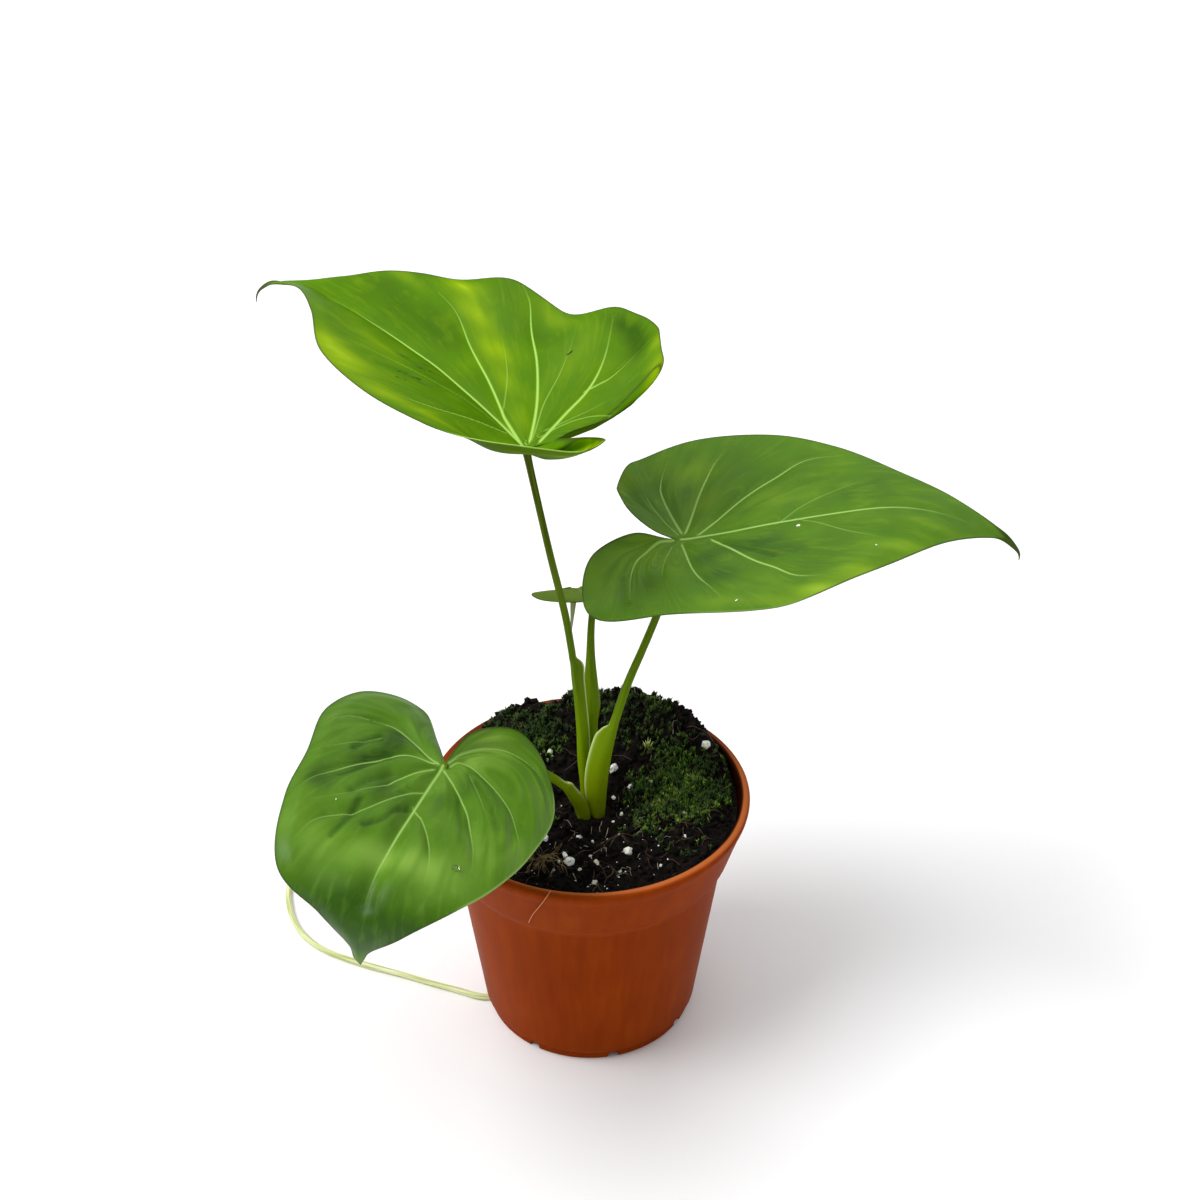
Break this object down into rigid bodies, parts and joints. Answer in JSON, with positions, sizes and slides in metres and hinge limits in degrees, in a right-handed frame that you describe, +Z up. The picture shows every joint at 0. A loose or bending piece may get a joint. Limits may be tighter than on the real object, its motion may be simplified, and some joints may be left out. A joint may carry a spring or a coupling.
{
  "type": "potted african fantasy philodendron",
  "caption": "Young heart-leaved philodendron on slender sheathed stalks in a round tapered nursery pot filled with peat mix, with a thin root trailing over the surface.",
  "frame": {"origin": "centre of the pot's flat base, on the surface the pot stands on", "axes": "+Z up along the pot's axis; +X towards the right-hand leaf; -Y towards the front, where the lower left leaf hangs forward"},
  "size_m": [0.239, 0.1786, 0.2476],
  "materials": {
    "pot_plastic": "satin terracotta-coloured thermoformed polypropylene",
    "peat": "matte moist dark peat with moss, fibres and white perlite",
    "stalk_green": "satin, smooth waxy yellow-green stalk",
    "leaf_green": "satin quilted mid-green leaf with lighter patches between the veins",
    "leaf_young": "satin, thin yellow-green young leaf",
    "root_pale": "satin, smooth pale yellow-green root"
  },
  "bodies": {
    "root": {"pot": "pot_plastic", "potting_mix": "peat", "stem": "stalk_green", "petiole_tall": "stalk_green", "petiole_right": "stalk_green", "petiole_low": "stalk_green", "petiole_young": "stalk_green", "blade_tall": "leaf_green", "blade_right": "leaf_green", "blade_low": "leaf_green", "blade_young": "leaf_young", "trailing_root": "root_pale"}
  },
  "joints": []
}
